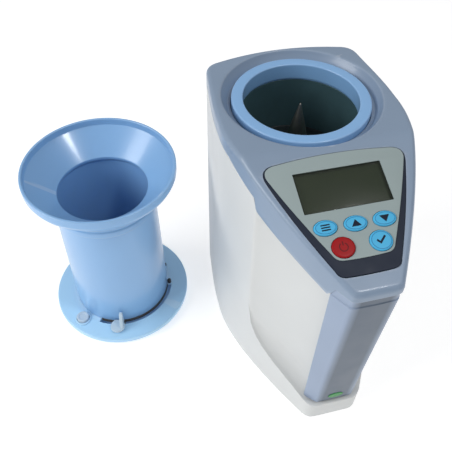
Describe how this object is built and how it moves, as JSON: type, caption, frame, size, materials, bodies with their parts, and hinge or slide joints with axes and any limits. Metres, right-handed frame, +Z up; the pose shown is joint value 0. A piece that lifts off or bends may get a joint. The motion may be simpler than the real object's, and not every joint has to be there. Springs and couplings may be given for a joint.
{
  "type": "grain moisture meter",
  "caption": "Cup-type grain moisture meter with display, keypad and weighed test cup, beside its funnel-topped drop sampler with lever shutter.",
  "frame": {"origin": "on the floor, below the middle of the bounding box of the meter and its sampler", "axes": "+X from the sampler towards the meter, +Y from the keypad towards the rear, +Z up"},
  "size_m": [0.2721, 0.2329, 0.215],
  "materials": {
    "cover_plastic": "fine moulded texture",
    "housing_plastic": "satin",
    "screw_steel": "satin",
    "foot_rubber": "matte",
    "sky_blue_plastic": "gloss",
    "cup_metal": "dark satin",
    "insulator": "matte",
    "electrode_metal": "satin",
    "probe_steel": "satin",
    "cell_aluminium": "satin",
    "label_film": "satin film",
    "bezel_plastic": "satin",
    "window_glass": "clear gloss",
    "lcd": "satin",
    "circuit_board": "satin",
    "switch_plastic": "matte",
    "blue_key": "satin film",
    "red_key": "satin film",
    "tray_plastic": "matte",
    "battery_sleeve": "gloss film",
    "sticker_film": "satin film",
    "shutter_steel": "brushed",
    "lever_plastic": "satin",
    "button_plastic": "satin"
  },
  "bodies": {
    "meter": {"top_cover": "cover_plastic", "lower_housing": "housing_plastic", "base_plate": "housing_plastic", "base_screw_1": "screw_steel", "base_screw_2": "screw_steel", "base_screw_3": "screw_steel", "base_screw_4": "screw_steel", "foot_1": "foot_rubber", "foot_2": "foot_rubber", "foot_3": "foot_rubber", "foot_4": "foot_rubber", "cup_ring": "sky_blue_plastic", "cup_wall": "cup_metal", "cup_floor": "insulator", "centre_electrode": "electrode_metal", "temperature_probe": "probe_steel", "contact_strip_left": "probe_steel", "contact_strip_right": "probe_steel", "cup_carrier": "cell_aluminium", "load_cell": "cell_aluminium", "cell_pedestal": "cell_aluminium", "keypad_label": "label_film", "keypad_bezel": "bezel_plastic", "display_window": "window_glass", "display_module": "lcd", "main_board": "circuit_board", "menu_switch": "switch_plastic", "up_switch": "switch_plastic", "down_switch": "switch_plastic", "power_switch": "switch_plastic", "ok_switch": "switch_plastic", "battery_tray": "tray_plastic", "battery_1": "battery_sleeve", "battery_2": "battery_sleeve", "battery_3": "battery_sleeve", "battery_4": "battery_sleeve", "column_sticker": "sticker_film"},
    "menu_key": {"menu_key": "blue_key"},
    "up_key": {"up_key": "blue_key"},
    "down_key": {"down_key": "blue_key"},
    "power_key": {"power_key": "red_key"},
    "ok_key": {"ok_key": "blue_key"},
    "battery_door": {"battery_door": "housing_plastic"},
    "sampler": {"barrel": "sky_blue_plastic", "saucer": "sky_blue_plastic", "gate_plate": "sky_blue_plastic", "gate_pivot": "probe_steel", "sampler_foot": "sky_blue_plastic", "sampler_screw_1": "screw_steel", "sampler_screw_2": "screw_steel", "sampler_screw_3": "screw_steel", "button_spring": "probe_steel"},
    "shutter": {"shutter_disc": "shutter_steel", "shutter_lever": "lever_plastic", "shutter_spring": "probe_steel"},
    "release_button": {"release_button": "button_plastic"}
  },
  "joints": [
    {"name": "menu_press", "type": "slide", "parent": "meter", "child": "menu_key", "axis": [0, 0.3219, -0.9468], "range_m": [0, 0.0007], "stiffness_N_per_m": 1000, "springref_m": -0.0005},
    {"name": "up_press", "type": "slide", "parent": "meter", "child": "up_key", "axis": [0, 0.3219, -0.9468], "range_m": [0, 0.0007], "stiffness_N_per_m": 1000, "springref_m": -0.0005},
    {"name": "down_press", "type": "slide", "parent": "meter", "child": "down_key", "axis": [0, 0.3219, -0.9468], "range_m": [0, 0.0007], "stiffness_N_per_m": 1000, "springref_m": -0.0005},
    {"name": "power_press", "type": "slide", "parent": "meter", "child": "power_key", "axis": [0, 0.3219, -0.9468], "range_m": [0, 0.0007], "stiffness_N_per_m": 1000, "springref_m": -0.0005},
    {"name": "ok_press", "type": "slide", "parent": "meter", "child": "ok_key", "axis": [0, 0.3219, -0.9468], "range_m": [0, 0.0007], "stiffness_N_per_m": 1000, "springref_m": -0.0005},
    {"name": "battery_door_hinge", "type": "hinge", "parent": "meter", "child": "battery_door", "pos_m": [0.072, 0.0888, 0.0132], "axis": [-1, 0, 0], "range_deg": [0, 95]},
    {"name": "sampler_lift", "type": "slide", "parent": "meter", "child": "sampler", "axis": [0, 0, 1], "range_m": [0, 0.3]},
    {"name": "shutter_turn", "type": "hinge", "parent": "sampler", "child": "shutter", "pos_m": [-0.0755, 0.0559, 0.0067], "axis": [0, 0, 1], "range_deg": [0, 80]},
    {"name": "release_press", "type": "slide", "parent": "sampler", "child": "release_button", "axis": [0, 0, -1], "range_m": [0, 0.003], "stiffness_N_per_m": 400, "springref_m": -0.001, "deforming": ["button_spring"]}
  ]
}
